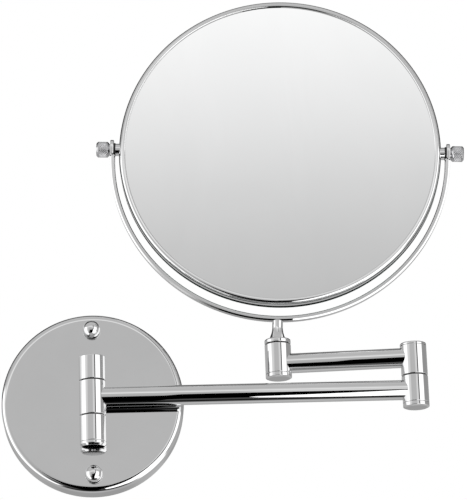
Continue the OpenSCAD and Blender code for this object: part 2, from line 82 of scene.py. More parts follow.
BAND_T = 1.4 * MM            # wall of the frame's band
LIP_R = 2.1 * MM             # half the width of the frame's lips
LIP_SEAT = 1.7 * MM          # seats of the glasses under the lips
LIP_CREST = 2.7 * MM         # crest of the front lip, in from the frame's outside
LIP_ROUND = 4.2 * MM         # rounded outside of the front lip, front to back
LIP_ROLL = 0.85 * MM         # rounded inner edge of the front lip
LIP_FALL = 0.15 * MM         # fall of the front lip from its crest to its inner edge
GLASS_R = 102.1 * MM         # radius of both glasses
GLASS_T = 1.8 * MM           # thickness of both glasses
BEND_R = 2000 * MM           # radius that the magnifying glass is bent to
TUBE_WALL = 1 * MM           # wall of the arm tubes
STEM_TOP_R = 3.3 * MM        # stem where it meets the yoke
STEM_FOOT_R = 5.9 * MM       # foot of the stem
STEM_CONE = 0.65 * MM        # short cone around the foot
STEM_FLARE_H = 8.5 * MM      # height over which the stem flares
STEM_SADDLE = 0.15 * MM      # how far the stem's top reaches round the bar
STUD_R = 2.5 * MM            # studs that the mirror tilts on
STUD_THREAD = 5.5 * MM       # thread of each stud inside its knob
BOSS_R = 4 * MM              # bosses between frame and yoke
BOSS_ROOT = 1.3 * MM         # how far the bosses reach into the frame's rounded side
WASHER_T = 1 * MM            # black washers between bosses and eyes
WASHER_R = 4.4 * MM          # radius of the washers
KNOB_R = 5.1 * MM            # radius of the knurled knobs
KNOB_LEN = 8.2 * MM          # length of the knobs without their necks
KNOB_NECK_R = 3.7 * MM       # radius of the necks
KNOB_NECK = 0.7 * MM         # length of the necks
KNOB_CHAMFER = 1 * MM        # chamfered ends of the knobs
KNURL_DEPTH = 0.32 * MM      # depth of the diamond knurl
KNURL_THREADS = 26           # grooves of the knurl in each direction
KNURL_PITCH = 1.25 * MM      # distance between its grooves along the knob
KNURL_FLAT = 0.35            # share of each pitch that stays uncut
KNURL_FADE = 0.35 * MM       # length over which the grooves run out
DOME_COLLAR_R = 4.2 * MM     # radius of the collar under each dome nut
DOME_COLLAR_H = 1.6 * MM     # height of that collar
DOME_SIDE = 1.2 * MM         # straight part of each dome nut
FOOT_R = 4.6 * MM            # round feet that join the knuckles to the plate
UPPER_FOOT_RISE = 1.5 * MM   # feet over the middles of their knuckles
LOWER_FOOT_RISE = 1 * MM

JOINTS = {j["name"]: j for j in frame["joints"]}


# ---- places, from the frame ----

def joint_point(name):
    return Vector(JOINTS[name]["pos_m"])


def centre(node):
    low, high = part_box(node)
    return (low + high) / 2


def axes_matrix(origin, x_axis, y_axis, z_axis):
    m = Matrix((x_axis, y_axis, z_axis)).transposed().to_4x4()
    m.translation = origin
    return m


TILT_POINT = joint_point("mirror_tilt")
YOKE_X = Vector(JOINTS["mirror_tilt"]["axis"]).normalized()
YOKE_Y = Z.cross(YOKE_X).normalized()
YOKE_Z = YOKE_X.cross(YOKE_Y)
YOKE_FRAME = axes_matrix(TILT_POINT, YOKE_X, YOKE_Y, YOKE_Z)
WALL_POST = joint_point("wall_hinge")
ELBOW = joint_point("elbow_hinge")
SWIVEL = joint_point("yoke_swivel")
cap_low, cap_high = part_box("wall_post_cap")
POST_R = (cap_high.x - cap_low.x) / 2


def largest_face_normal(node):
    faces = frame["nodes"][node].data.polygons
    return max(faces, key=lambda f: f.area).normal.copy()


def head_frame():
    """The mirror's own frame: X along the tilt axis, and Z out of the plain glass."""
    out = largest_face_normal("front_glass")
    if out.y > 0:
        out = -out
    out = (out - YOKE_X * out.dot(YOKE_X)).normalized()
    return axes_matrix(TILT_POINT, YOKE_X, out.cross(YOKE_X), out)


HEAD_FRAME = head_frame()
INTO_ROOM = axes_matrix(ORIGIN, X, Z, -Y)
OUTWARD = {1: axes_matrix(ORIGIN, Y, Z, X), -1: axes_matrix(ORIGIN, Z, Y, -X)}


def at_post(point):
    return Matrix.Translation((point.x, point.y, 0))


# ---- mesh tools ----

def arc(cx, cy, r, start, end, steps):
    """Points on an arc, with angles in degrees."""
    out = []
    for i in range(steps + 1):
        a = math.radians(start + (end - start) * i / steps)
        out.append((cx + r * math.cos(a), cy + r * math.sin(a)))
    return out


def softened(corners, steps=5):
    """Rounds the corners (x, y, radius) of an outline; its ends and corners of radius 0 stay."""
    out = []
    count = len(corners)
    for i, (x, y, r) in enumerate(corners):
        here = Vector((x, y))
        before = Vector(corners[(i - 1) % count][:2]) - here
        after = Vector(corners[(i + 1) % count][:2]) - here
        open_end = i in (0, count - 1)
        if r <= 0 or open_end or before.length < 1e-9 or after.length < 1e-9:
            out.append((x, y))
            continue
        half = before.angle(after) / 2
        if half > math.radians(89):
            out.append((x, y))
            continue
        run = min(r / math.tan(half), before.length * 0.49, after.length * 0.49)
        r = run * math.tan(half)
        hub = here + (before.normalized() + after.normalized()).normalized() * (r / math.sin(half))
        a0 = here + before.normalized() * run - hub
        a1 = here + after.normalized() * run - hub
        turn = a0.angle_signed(a1)
        for k in range(steps + 1):
            t = -turn * k / steps
            out.append((hub.x + a0.x * math.cos(t) - a0.y * math.sin(t),
                        hub.y + a0.x * math.sin(t) + a0.y * math.cos(t)))
    return out


def new_piece(name, bm, matrix, material, body, nodes, smooth_angle=32):
    """Turns a bmesh into a piece that rides on its body and stands for its CAD nodes."""
    bmesh.ops.remove_doubles(bm, verts=bm.verts, dist=1e-7)
    bmesh.ops.recalc_face_normals(bm, faces=bm.faces)
    mesh = bpy.data.meshes.new(name)
    bm.to_mesh(mesh)
    bm.free()
    mesh.transform(matrix)
    mesh.shade_smooth()
    mesh.set_sharp_from_angle(angle=math.radians(smooth_angle))
    piece = bpy.data.objects.new(name, mesh)
    bpy.context.scene.collection.objects.link(piece)
    for m in material if isinstance(material, list) else [material]:
        mesh.materials.append(m)
    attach(piece, body)
    if nodes:
        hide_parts(*nodes)
    return piece


def braced(outline, near=0.12 * MM):
    """Adds points near the ends of each long straight stretch, so that it shades flat between them."""
    out = [outline[0]]
    for (x0, y0), (x1, y1) in zip(outline, outline[1:]):
        length = math.hypot(x1 - x0, y1 - y0)
        if length > 5 * near:
            for t in (near / length, 1 - near / length):
                out.append((x0 + (x1 - x0) * t, y0 + (y1 - y0) * t))
        out.append((x1, y1))
    return out


def spun(bm, profile, steps=128, closed=False, radius_of=None, brace=True):
    """Spins (r, h) points about Z. radius_of(r, h, angle) may change the radius as it turns."""
    rings = []
    for r, h in braced(profile) if brace else profile:
        if r < 1e-7:
            rings.append([bm.verts.new((0, 0, h))])
            continue
        ring = []
        for i in range(steps):
            a = 2 * math.pi * i / steps
            rr = radius_of(r, h, a) if radius_of else r
            ring.append(bm.verts.new((rr * math.cos(a), rr * math.sin(a), h)))
        rings.append(ring)
    pairs = list(zip(rings, rings[1:]))
    if closed:
        pairs.append((rings[-1], rings[0]))
    for a, b in pairs:
        if len(a) == 1 and len(b) == 1:
            continue
        for i in range(steps):
            j = (i + 1) % steps
            if len(a) == 1:
                bm.faces.new((a[0], b[j], b[i]))
            elif len(b) == 1:
                bm.faces.new((a[i], a[j], b[0]))
            else:
                bm.faces.new((a[i], a[j], b[j], b[i]))
    return rings


def turned(name, profile, matrix, material, body, nodes, steps=128, closed=False):
    bm = bmesh.new()
    spun(bm, profile, steps, closed)
    return new_piece(name, bm, matrix, material, body, nodes)


def boolean(base, others, operation):
    for o in others:
        m = base.modifiers.new("solid", "BOOLEAN")
        m.operation = operation
        m.solver = "EXACT"
        m.object = o
    bpy.context.view_layer.update()
    done = base.evaluated_get(bpy.context.evaluated_depsgraph_get()).to_mesh()
    out = bmesh.new()
    out.from_mesh(done)
    for o in [base] + others:
        bpy.data.objects.remove(o)
    return out


def solid_object(bm, matrix=None):
    bmesh.ops.recalc_face_normals(bm, faces=bm.faces)
    mesh = bpy.data.meshes.new("part")
    bm.to_mesh(mesh)
    bm.free()
    if matrix is not None:
        mesh.transform(matrix)
    o = bpy.data.objects.new("part", mesh)
    bpy.context.scene.collection.objects.link(o)
    return o


# ---- materials ----

class Maker:
    """A material's nodes, built one after another."""

    def __init__(self, name):
        self.material = bpy.data.materials.new(name)
        self.material.use_nodes = True
        self.tree = self.material.node_tree
        self.shader = self.tree.nodes["Principled BSDF"]

    def add(self, kind, **settings):
        node = self.tree.nodes.new(kind)
        for key, value in settings.items():
            if key in node.inputs:
                node.inputs[key].default_value = value
            else:
                setattr(node, key, value)
        return node

    def link(self, a, b):
        self.tree.links.new(a, b)

    def place(self, scale=(1, 1, 1)):
        coords = self.add("ShaderNodeTexCoord")
        mapping = self.add("ShaderNodeMapping")
        mapping.inputs["Scale"].default_value = scale
        self.link(coords.outputs["Object"], mapping.inputs["Vector"])
        return mapping.outputs["Vector"]

    def noise(self, where, scale, detail=3.0, rough=0.55, warp=0.0):
        node = self.add("ShaderNodeTexNoise", Scale=scale, Detail=detail, Roughness=rough, Distortion=warp)
        self.link(where, node.inputs["Vector"])
        return node.outputs["Fac"]

    def ramp(self, value, stops):
        node = self.add("ShaderNodeValToRGB")
        ramp = node.color_ramp
        while len(ramp.elements) < len(stops):
            ramp.elements.new(0.5)
        for element, (at, colour) in zip(ramp.elements, stops):
            element.position = at
            element.color = (*colour, 1)
        self.link(value, node.inputs["Fac"])
        return node.outputs["Color"]

    def spread(self, value, low, high, from_low=0.35, from_high=0.65):
        node = self.add("ShaderNodeMapRange")
        node.inputs["From Min"].default_value = from_low
        node.inputs["From Max"].default_value = from_high
        node.inputs["To Min"].default_value = low
        node.inputs["To Max"].default_value = high
        self.link(value, node.inputs["Value"])
        return node.outputs["Result"]

    def bump(self, height, distance):
        node = self.add("ShaderNodeBump", Strength=1.0, Distance=distance)
        self.link(height, node.inputs["Height"])
        return node.outputs["Normal"]

    def sum(self, a, b, how="ADD"):
        node = self.add("ShaderNodeMath", operation=how)
        self.link(a, node.inputs[0])
        if isinstance(b, (int, float)):
            node.inputs[1].default_value = b
        else:
            self.link(b, node.inputs[1])
        return node.outputs[0]

    def set(self, **values):
        for key, value in values.items():
            self.shader.inputs[key.replace("_", " ")].default_value = value


def polished_chrome():
    """Bright chrome: a trace of buffing, thumb smudges and tiny waviness of the plated metal."""
    m = Maker("polished_chrome")
    m.set(Metallic=1.0)
    where = m.place()
    smudge = m.noise(where, 38, 4, 0.6, 0.4)
    film = m.noise(where, 900, 3, 0.6)
    m.link(m.ramp(smudge, [(0.3, (0.76, 0.761, 0.763)), (0.7, (0.785, 0.786, 0.788))]),
           m.shader.inputs["Base Color"])
    rough = m.sum(m.spread(smudge, 0.008, 0.022), m.spread(film, 0.0, 0.01))
    m.link(rough, m.shader.inputs["Roughness"])
    wave = m.noise(where, 120, 2, 0.5)
    m.link(m.bump(wave, 0.0000008), m.shader.inputs["Normal"])
    return m.material


def knurled_chrome():
    """Chrome over a knurl: duller in the grooves, with painted shade darkening its colour there, and
    brighter on the worn points.
    """
    m = Maker("knurled_chrome")
    m.set(Metallic=1.0)
    where = m.place()
    shape = m.add("ShaderNodeNewGeometry").outputs["Pointiness"]
    # painted shade: the colour is darkened in the hollows of the knurl, found by the mesh's pointiness
    m.link(m.ramp(shape, [(0.44, (0.3, 0.3, 0.31)), (0.5, (0.62, 0.62, 0.63)), (0.56, (0.75, 0.75, 0.76))]),
           m.shader.inputs["Base Color"])
    grain = m.noise(where, 1400, 4, 0.6)
    m.link(m.sum(m.spread(shape, 0.22, 0.06, 0.46, 0.54), m.spread(grain, 0.0, 0.05)),
           m.shader.inputs["Roughness"])
    m.link(m.bump(grain, 0.00001), m.shader.inputs["Normal"])
    return m.material


def zinc_plate():
    """Bright zinc plate on fasteners: fine drawing lines and cloudy colour."""
    m = Maker("zinc_plated_steel")
    m.set(Metallic=1.0)
    lines = m.noise(m.place((1, 1, 14)), 420, 4, 0.65)
    cloud = m.noise(m.place(), 160, 3)
    m.link(m.ramp(cloud, [(0.3, (0.47, 0.48, 0.47)), (0.55, (0.6, 0.6, 0.58)), (0.75, (0.64, 0.62, 0.55))]),
           m.shader.inputs["Base Color"])
    m.link(m.spread(lines, 0.22, 0.42), m.shader.inputs["Roughness"])
    m.link(m.bump(lines, 0.00003), m.shader.inputs["Normal"])
    return m.material


def spring_steel():
    """Dark spring steel with fine rolling streaks."""
    m = Maker("spring_steel")
    m.set(Metallic=1.0)
    streak = m.noise(m.place((1, 1, 9)), 500, 4)
    m.link(m.ramp(streak, [(0.35, (0.26, 0.26, 0.28)), (0.65, (0.40, 0.40, 0.41))]),
           m.shader.inputs["Base Color"])
    m.link(m.spread(streak, 0.25, 0.4), m.shader.inputs["Roughness"])
    m.link(m.bump(streak, 0.00002), m.shader.inputs["Normal"])
    return m.material


def plastic(name, dark, light, rough, grain, depth):
    """Moulded plastic or rubber with a mottled colour and a fine grain."""
    m = Maker(name)
    where = m.place()
    mottle = m.noise(where, 220, 4)
    m.link(m.ramp(mottle, [(0.3, dark), (0.7, light)]), m.shader.inputs["Base Color"])
    skin = m.noise(where, grain, 4, 0.65)
    m.link(m.spread(skin, rough - 0.08, rough + 0.1), m.shader.inputs["Roughness"])
    m.link(m.bump(skin, depth), m.shader.inputs["Normal"])
    return m.material


def foam_rubber():
    """Black foam with open cells."""
    m = Maker("foam_rubber")
    where = m.place()
    cells = m.add("ShaderNodeTexVoronoi", Scale=1500.0)
    m.link(where, cells.inputs["Vector"])
    m.link(m.ramp(cells.outputs["Distance"], [(0.1, (0.02, 0.02, 0.02)), (0.6, (0.07, 0.07, 0.07))]),
           m.shader.inputs["Base Color"])
    m.link(m.spread(cells.outputs["Distance"], 0.8, 0.95, 0.0, 0.6), m.shader.inputs["Roughness"])
    m.link(m.bump(cells.outputs["Distance"], 0.0002), m.shader.inputs["Normal"])
    return m.material


def mirror_silver():
    """Silvered float glass: a clean mirror with a breath of dust and wiping."""
    m = Maker("mirror_silver")
    m.set(Metallic=1.0)
    where = m.place((1, 1, 0.4))
    wipe = m.noise(where, 26, 5, 0.6, 0.8)
    dust = m.noise(where, 2600, 2, 0.5)
    m.link(m.ramp(wipe, [(0.3, (0.865, 0.868, 0.869)), (0.7, (0.885, 0.887, 0.888))]),
           m.shader.inputs["Base Color"])
    m.link(m.sum(m.spread(wipe, 0.0, 0.012), m.spread(dust, 0.0, 0.01)), m.shader.inputs["Roughness"])
    return m.material


def glass_edge():
    """The ground edge of a glass, greenish and frosted."""
    m = Maker("glass_edge")
    grain = m.noise(m.place(), 1800, 3)
    m.link(m.ramp(grain, [(0.3, (0.12, 0.23, 0.19)), (0.7, (0.24, 0.37, 0.32))]),
           m.shader.inputs["Base Color"])
    m.link(m.spread(grain, 0.25, 0.5), m.shader.inputs["Roughness"])
    m.link(m.bump(grain, 0.00002), m.shader.inputs["Normal"])
    return m.material


CHROME = polished_chrome()
KNURLED = knurled_chrome()
ZINC = zinc_plate()
SPRING = spring_steel()
NYLON = plastic("grey_nylon", (0.06, 0.06, 0.062), (0.1, 0.1, 0.102), 0.42, 900, 0.00002)
BLACK_NYLON = plastic("black_nylon", (0.004, 0.004, 0.004), (0.012, 0.012, 0.012), 0.6, 1200, 0.00002)
FOAM = foam_rubber()
SILVER = mirror_silver()
GLASS_EDGE = glass_edge()


# ---- wall mount ----

def wall_plate():
    """The pressed dish, with its rolled edge and open back."""
    low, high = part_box("wall_plate")
    radius = (high.x - low.x) / 2
    depth = high.y - low.y
    inner = radius - PLATE_SHEET
    roll_in = PLATE_ROLL - PLATE_SHEET
    hub = (radius - PLATE_ROLL, depth - PLATE_ROLL)
    profile = [(0, depth)]
    profile += arc(*hub, PLATE_ROLL, 90, 0, 16)
    profile += [(radius, EDGE)] + arc(radius - EDGE, EDGE, EDGE, 0, -90, 4)
    profile += [(inner, 0)]
    profile += arc(*hub, roll_in, 0, 90, 10)
    profile += [(0, depth - PLATE_SHEET)]
    turned("plate_shell", profile, INTO_ROOM, CHROME, "wall_mount", ["wall_plate"], 256)


def dome_nuts():
    """The two dome nuts with their collars."""
    low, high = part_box("dome_nuts")
    radius = (high.x - low.x) / 2
    spacing = (high.z - low.z) / 2 - radius
    base = -high.y
    profile = softened([(0, 0, 0), (DOME_COLLAR_R, 0, 0), (DOME_COLLAR_R, DOME_COLLAR_H, 0.3 * MM),
                        (radius, DOME_COLLAR_H, 0.4 * MM), (radius, DOME_COLLAR_H + DOME_SIDE, 0)])
    profile += arc(0, DOME_COLLAR_H + DOME_SIDE, radius, 0, 90, 20)[1:]
    profile[-1] = (0, profile[-1][1])
    bm = bmesh.new()
    for side in (1, -1):
        before = set(bm.verts)
        spun(bm, profile, 96)
        new = [v for v in bm.verts if v not in before]
        bmesh.ops.translate(bm, verts=new, vec=(0, side * spacing, base))
    new_piece("dome_nut_pair", bm, INTO_ROOM, CHROME, "wall_mount", ["dome_nuts"])


def knuckle(name, node, foot_rise):
    """A fixed knuckle: its length of the post, with a round foot that reaches back to the plate."""
    low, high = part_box(node)
    foot_z = centre(node).z + foot_rise
    post = bmesh.new()
    spun(post, softened([(0, low.z, 0), (POST_R, low.z, EDGE), (POST_R, high.z, EDGE), (0, high.z, 0)]), 128)
    foot = bmesh.new()
    spun(foot, [(0, 0), (FOOT_R, 0), (FOOT_R, high.y - WALL_POST.y), (0, high.y - WALL_POST.y)], 48)
    back = Matrix.Translation((0, 0, foot_z)) @ axes_matrix(ORIGIN, X, -Z, Y)
    joined = boolean(solid_object(post), [solid_object(foot, back)], "UNION")
    new_piece(name, joined, at_post(WALL_POST), CHROME, "wall_mount", [node])


def cap(name, node, body, point, drop=CAP_DROP):
    """A chamfered cap under a post; its plug stays inside the hub."""
    low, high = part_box(node)
    rim_z = high.z - CAP_PLUG
    plug_r = POST_R * CAP_PLUG_SHARE
    corners = [(0, low.z, 0), (POST_R - CAP_CHAMFER, low.z, EDGE), (POST_R, low.z + drop, EDGE),
               (POST_R, rim_z, EDGE), (plug_r, rim_z, 0), (plug_r, high.z, 0), (0, high.z, 0)]
    turned(name, softened(corners), at_post(point), CHROME, body, [node])


def hub(name, node, body, point):
    """A turned hub on a post. Its spigots are inside the arm tubes, which cover them."""
    low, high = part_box(node)
    corners = [(0, low.z, 0), (POST_R, low.z, EDGE), (POST_R, high.z, EDGE), (0, high.z, 0)]
    turned(name, softened(corners), at_post(point), CHROME, body, [node])


# ---- arms ----

def arm(name, node, body, start, end):
    """An arm tube between two posts, with its ends coped to sit on them."""
    low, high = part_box(node)
    radius = (high.z - low.z) / 2
    span = Vector((end.x - start.x, end.y - start.y, 0))
    length = span.length
    direction = span.normalized()
    gap = 0.02 * MM
    steps = 128
    bm = bmesh.new()

    def cope(r, a):
        return math.sqrt((POST_R + gap) ** 2 - (r * math.cos(a)) ** 2)

    inner = radius - TUBE_WALL
    rings = []
    for r, share in ((radius, 0.0), (radius, 0.02), (radius, 0.5), (radius, 0.98), (radius, 1.0),
                     (inner, 1.0), (inner, 0.0)):
        ring = []
        for i in range(steps):
            a = 2 * math.pi * i / steps
            x0, x1 = cope(r, a), length - cope(r, a)
            ring.append(bm.verts.new((x0 + (x1 - x0) * share, r * math.cos(a), r * math.sin(a))))
        rings.append(ring)
    for a, b in zip(rings, rings[1:] + rings[:1]):
        for i in range(steps):
            j = (i + 1) % steps
            bm.faces.new((a[i], a[j], b[j], b[i]))
    along = axes_matrix(Vector((start.x, start.y, (low.z + high.z) / 2)), direction, Z.cross(direction), Z)
    new_piece(name, bm, along, CHROME, body, [node])


def elbow_top_cap():
    """The low round-edged cap on the elbow."""
    low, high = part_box("elbow_top_cap")
    corners = [(0, low.z, 0), (POST_R, low.z, 0.1 * MM), (POST_R, high.z, TOP_ROUND), (0, high.z, 0)]
    turned("elbow_cap_top", softened(corners, 8), at_post(ELBOW), CHROME, "short_arm", ["elbow_top_cap"])


# ---- yoke ----

def bar_outline(depth=BAR_DEPTH, thick=BAR_T):
    """The yoke bar's section: x along the radius, y front to back."""
    x, y, soft = thick / 2, depth / 2, 0.15 * MM
    corners = [(x, 0, 0)]
    for sx, sy in ((1, 1), (-1, 1), (-1, -1), (1, -1)):
        cut_x, cut_y = BAR_BEVEL_OUT if sx > 0 else BAR_BEVEL_IN
        ends = [(sx * x, sy * (y - cut_y), soft), (sx * (x - cut_x), sy * y, soft)]
        corners += ends if sx == sy else ends[::-1]
    return braced(softened(corners + [(x, 0, 0)], 3), soft / 2)[:-1]


def yoke_mesh(grow=0.0):
    """The half ring with its legs, in the yoke's frame. The section can be made larger all round."""
    section = bar_outline(BAR_DEPTH + 2 * grow, BAR_T + 2 * grow)
    middle = YOKE_OUT - BAR_T / 2
    bm = bmesh.new()
    rings = []
    steps = 192

    def ring(origin, outward):
        return [bm.verts.new(origin + outward * x + Vector((0, y, 0))) for x, y in section]

    rings.append(ring(Vector((middle, 0, 0)), X))
    for i in range(steps + 1):
        a = math.pi * i / steps
        outward = Vector((math.cos(a), 0, -math.sin(a)))
        rings.append(ring(Vector((0, 0, -YOKE_LEG)) + outward * middle, outward))
    rings.append(ring(Vector((-middle, 0, 0)), -X))
    count = len(section)
    for a, b in zip(rings, rings[1:]):
        for i in range(count):
            j = (i + 1) % count
            bm.faces.new((a[i], a[j], b[j], b[i]))
    bm.faces.new(rings[0][::-1])
    bm.faces.new(rings[-1])
    return bm


def eye_mesh():
    """A flat eye with a round top and softened rims, flush with the outer face of the bar at +X."""
    soft = 0.35 * MM
    round_z = EYE_RISE - EYE_W / 2
    bm = bmesh.new()
    rings = []
    wide = 1.3 * soft
    corner = 1.5 * soft
    low, high = YOKE_OUT - EYE_T, YOKE_OUT
    for x, inset in ((low, wide), (low, soft), (low + soft / 3, soft / 3), (low + soft, 0), (low + wide, 0),
                     (high - wide, 0), (high - soft, 0), (high - soft / 3, soft / 3), (high, soft),
                     (high, wide)):
        outline = arc(0, round_z, EYE_W / 2 - inset, 0, 180, 40)
        outline += arc(corner - EYE_W / 2, corner - YOKE_LEG, corner - inset, 180, 270, 4)
        outline += arc(EYE_W / 2 - corner, corner - YOKE_LEG, corner - inset, 270, 360, 4)
        rings.append([bm.verts.new((x, y, z)) for y, z in outline])
    for a, b in zip(rings, rings[1:]):
        for i in range(len(a)):
            j = (i + 1) % len(a)
            bm.faces.new((a[i], a[j], b[j], b[i]))
    bm.faces.new(rings[0][::-1])
    bm.faces.new(rings[-1])
    return bm


def spot_face():
    """The recess that is cut inside each eye for its washer, from one eye to the other."""
    bm = bmesh.new()
    reach = YOKE_OUT - EYE_T
    radius = WASHER_R + SPOT_GAP
    spun(bm, [(0, -reach), (radius, -reach), (radius, reach), (0, reach)], 96)
    return bm


def yoke():
    """The bar and its eyes as one piece, with the washers' recesses cut in."""
    bar = solid_object(yoke_mesh())
    eyes = [solid_object(eye_mesh()), solid_object(eye_mesh(), Matrix.Rotation(math.pi, 4, "Z"))]
    joined = solid_object(boolean(bar, eyes, "UNION"))
    cut = boolean(joined, [solid_object(spot_face(), OUTWARD[1])], "DIFFERENCE")
    new_piece("yoke_bar", cut, YOKE_FRAME, CHROME, "yoke_frame", ["yoke"], 24)


def swivel_cap():
    """The turning cap on the swivel's post."""
    low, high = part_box("swivel_cap")
    corners = [(0, low.z, 0), (POST_R, low.z, EDGE), (POST_R, high.z, SWIVEL_ROUND), (0, high.z, 0)]
    turned("swivel_cap_turned", softened(corners), at_post(SWIVEL), CHROME, "yoke_frame", ["swivel_cap"])


def flared_stem():
    """The stem flares on an arc to a short cone at its foot, and its top is cut to the yoke's bar."""
    foot_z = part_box("swivel_cap")[1].z
    head_rise = (TILT_POINT - Vector((SWIVEL.x, SWIVEL.y, foot_z))).length
    top = head_rise - YOKE_LEG - YOKE_OUT
    flare = STEM_FOOT_R - STEM_CONE - STEM_TOP_R
    height = STEM_FLARE_H - STEM_CONE
    bend = (height ** 2 + flare ** 2) / (2 * flare)
    reach = math.degrees(math.asin(height / bend))
    profile = [(0, 0), (STEM_FOOT_R, 0)]
    profile += arc(STEM_TOP_R + bend, STEM_FLARE_H, bend, 180 + reach, 180, 24)
    profile += [(STEM_TOP_R, top + STEM_SADDLE), (0, top + STEM_SADDLE)]
    bm = bmesh.new()
    spun(bm, profile, 96)
    lean = YOKE_FRAME.copy()
    lean.translation = Vector((SWIVEL.x, SWIVEL.y, foot_z))
    stem = solid_object(bm, lean)
    cutter = solid_object(yoke_mesh(0.02 * MM), YOKE_FRAME)
    cut = boolean(stem, [cutter], "DIFFERENCE")
    new_piece("stem_turned", cut, Matrix.Identity(4), CHROME, "yoke_frame", ["flared_stem"],
              12)


# ---- mirror head ----

def frame_band():
    """The frame: a rounded outside, the crest of the lip, its rolled inner edge, and the hidden band."""
    half = FRAME_DEPTH / 2
    seat = half - LIP_SEAT
    inner = FRAME_R - BAND_T
    hub_r, hub_h = FRAME_R - LIP_CREST, half - LIP_ROUND
    lip_in = FRAME_R - 2 * LIP_R
    profile = [(hub_r + LIP_CREST * c, hub_h + LIP_ROUND * s) for c, s in arc(0, 0, 1, 0, 90, 28)]
    profile += arc(lip_in + LIP_ROLL, half - LIP_FALL - LIP_ROLL, LIP_ROLL, 80, 180, 8)
    profile += [(lip_in, seat), (inner, seat), (inner, hub_h)]
    turned("frame_ring", profile, HEAD_FRAME, CHROME, "mirror_head", ["frame_band"], 320,
           True)


def rear_bezel():
    """The round lip of the back."""
    half = FRAME_DEPTH / 2
    gap = 0.02 * MM
    profile = arc(FRAME_R - LIP_R, LIP_R - half, LIP_R, 180, 360, 24)
    profile = [(r, min(h, LIP_SEAT - half - gap)) for r, h in profile]
    turned("bezel_ring", profile, HEAD_FRAME, CHROME, "mirror_head", ["rear_bezel"], 320,
           True)


def glass(name, node, faces_front, bend):
    """A round glass, turned to face its own side: both faces silvered, the edge plain."""
    gap = 0.02 * MM
    seat = FRAME_DEPTH / 2 - LIP_SEAT - gap
    rise = BEND_R - math.sqrt(BEND_R ** 2 - GLASS_R ** 2) if bend else 0.0
    rings = 40
    grind = 0.25 * MM

    def sag(r):
        return rise * (1 - (r / GLASS_R) ** 2)

    outer = [(GLASS_R * i / rings, sag(GLASS_R * i / rings)) for i in range(rings)]
    outer += [(GLASS_R - grind, sag(GLASS_R - grind)), (GLASS_R, grind)]
    inner = [(GLASS_R, GLASS_T - grind), (GLASS_R - grind, GLASS_T + sag(GLASS_R - grind))]
    inner += [(GLASS_R * i / rings, GLASS_T + sag(GLASS_R * i / rings)) for i in range(rings - 1, -1, -1)]
    bm = bmesh.new()
    spun(bm, outer + inner, 192, brace=False)
    flip = -1 if faces_front else 1
    for v in bm.verts:
        v.co.z = flip * (v.co.z - seat)
    for f in bm.faces:
        f.material_index = 1 if f.calc_center_median().xy.length > GLASS_R - grind else 0
    new_piece(name, bm, HEAD_FRAME, [SILVER, GLASS_EDGE], "mirror_head", [node])


def tilt_parts():
    """Studs with their bosses, and black washers, on both ends of the tilt axis."""
    eye_in = YOKE_OUT - EYE_T
    gap = 0.05 * MM
    tip = YOKE_OUT + KNOB_NECK + STUD_THREAD
    boss_start = FRAME_R - BOSS_ROOT
    boss_end = eye_in - WASHER_T - gap
    studs, washers = bmesh.new(), bmesh.new()
    for side in (1, -1):
        stud = softened([(0, boss_start, 0), (BOSS_R, boss_start, 0), (BOSS_R, boss_end, 0.3 * MM),
                         (STUD_R, boss_end, 0), (STUD_R, tip, 0.4 * MM), (0, tip, 0)])
        washer = [(STUD_R, boss_end), (WASHER_R, boss_end), (WASHER_R, eye_in - gap), (STUD_R, eye_in - gap)]
        for bm, profile, closed in ((studs, stud, False), (washers, washer, True)):
            before = set(bm.verts)
            spun(bm, profile, 72, closed)
            bmesh.ops.transform(bm, matrix=OUTWARD[side], verts=[v for v in bm.verts if v not in before])
    new_piece("tilt_stud_pair", studs, HEAD_FRAME, CHROME, "mirror_head", ["tilt_studs"])
    new_piece("washer_pair", washers, HEAD_FRAME, BLACK_NYLON, "mirror_head", ["stud_washers"])


def knob(name, node, body, side):
    """A clamp knob with a diamond knurl, a turned neck and chamfered ends."""
    neck_from = YOKE_OUT + 0.05 * MM
    start = YOKE_OUT + KNOB_NECK
    end = start + KNOB_LEN
    knurl_from = start + KNOB_CHAMFER + 0.5 * MM
    knurl_to = end - KNOB_CHAMFER - 0.3 * MM
    slant = 2 * math.pi / KNURL_THREADS / KNURL_PITCH

    def groove(phase):
        return abs(((phase * KNURL_THREADS / (2 * math.pi)) % 1.0) * 2 - 1)

    def radius(r, h, a):
        if not knurl_from <= h <= knurl_to:
            return r
        edge = min(h - knurl_from, knurl_to - h) / KNURL_FADE
        deep = max(groove(a + slant * h), groove(a - slant * h))
        return r - KNURL_DEPTH * max(0.0, deep - KNURL_FLAT) / (1 - KNURL_FLAT) * min(1.0, edge)

    ends_in = softened([(0, neck_from, 0), (KNOB_NECK_R, neck_from, 0),
                        (KNOB_NECK_R, start, 0), (KNOB_R - KNOB_CHAMFER, start, 0.1 * MM),
                        (KNOB_R, start + KNOB_CHAMFER, 0.3 * MM), (KNOB_R, knurl_from, 0)])
    rows = 44
    barrel = [(KNOB_R, knurl_from + (knurl_to - knurl_from) * i / rows) for i in range(1, rows)]
    ends_out = softened([(KNOB_R, knurl_to, 0), (KNOB_R, end - KNOB_CHAMFER, 0.2 * MM),
                         (KNOB_R - KNOB_CHAMFER, end, 0.3 * MM), (KNOB_R * 0.55, end, 0), (0, end, 0)])
    bm = bmesh.new()
    spun(bm, ends_in + barrel + ends_out, 312, radius_of=radius)
    new_piece(name, bm, HEAD_FRAME @ OUTWARD[side], KNURLED, body, [node], 40)


